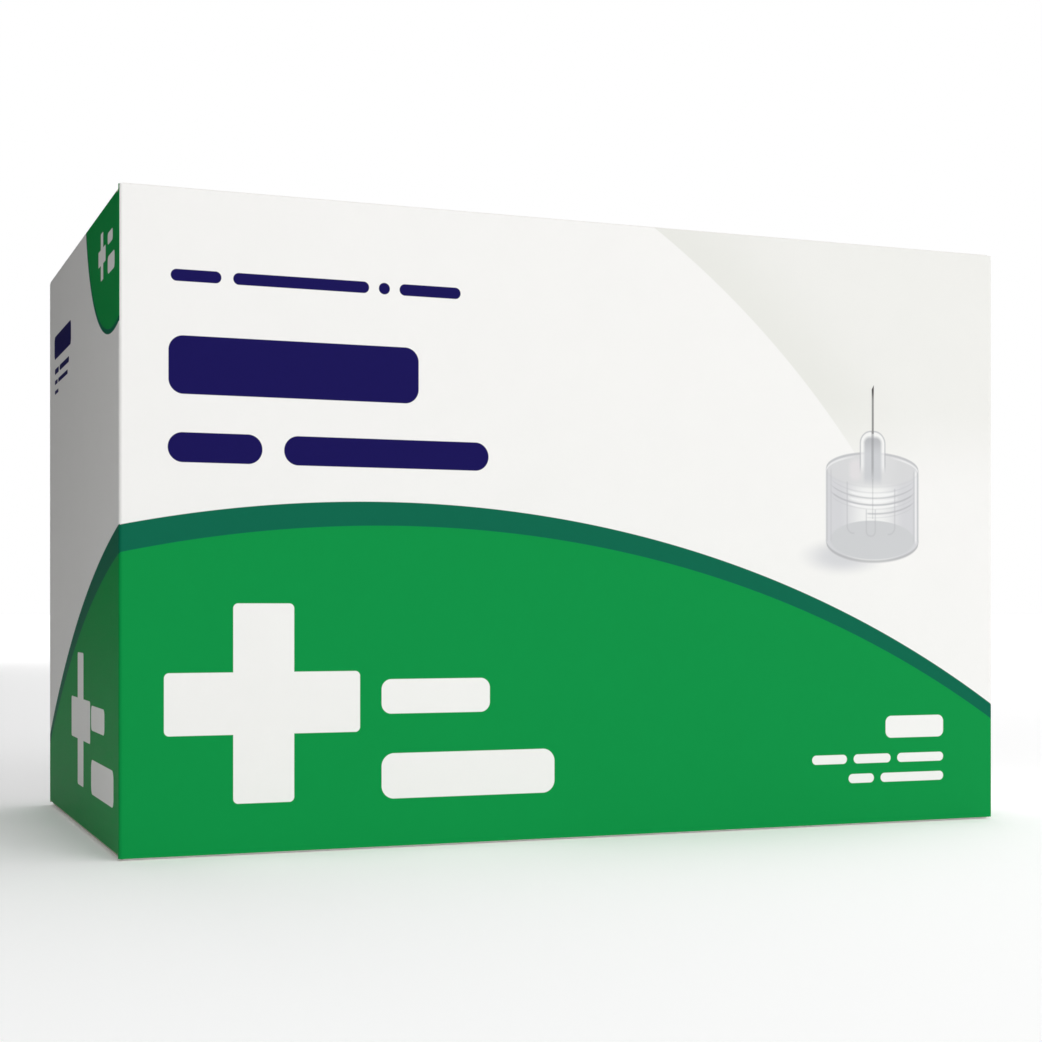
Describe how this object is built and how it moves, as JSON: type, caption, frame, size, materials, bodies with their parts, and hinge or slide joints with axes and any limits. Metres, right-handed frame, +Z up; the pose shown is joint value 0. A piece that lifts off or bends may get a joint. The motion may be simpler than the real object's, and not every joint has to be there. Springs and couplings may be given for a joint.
{
  "type": "pen needle carton",
  "caption": "Folding carton of capped pen needles with a tuck-in lid hinged at the back, sealed outer covers standing in layers inside and a folded leaflet.",
  "frame": {"origin": "middle of the base, on the surface the carton stands on", "axes": "+Z up, the front panel faces -Y, +X runs along the front to the right as seen from the front"},
  "size_m": [0.137, 0.0754, 0.0895],
  "materials": {
    "printed_board": "satin varnish over print",
    "cover_plastic": "moulded, slightly frosted",
    "tab_film": "coated sealing paper with a green pull",
    "leaflet_paper": "thin uncoated paper"
  },
  "bodies": {
    "carton_body": {"carton": "printed_board", "outer_covers": "cover_plastic", "peel_tabs": "tab_film", "instruction_leaflet": "leaflet_paper"},
    "lid_body": {"lid": "printed_board"}
  },
  "joints": [
    {"name": "lid_hinge", "type": "hinge", "parent": "carton_body", "child": "lid_body", "pos_m": [0, 0.03725, 0.089], "axis": [-1, 0, 0], "range_deg": [0, 180]}
  ]
}
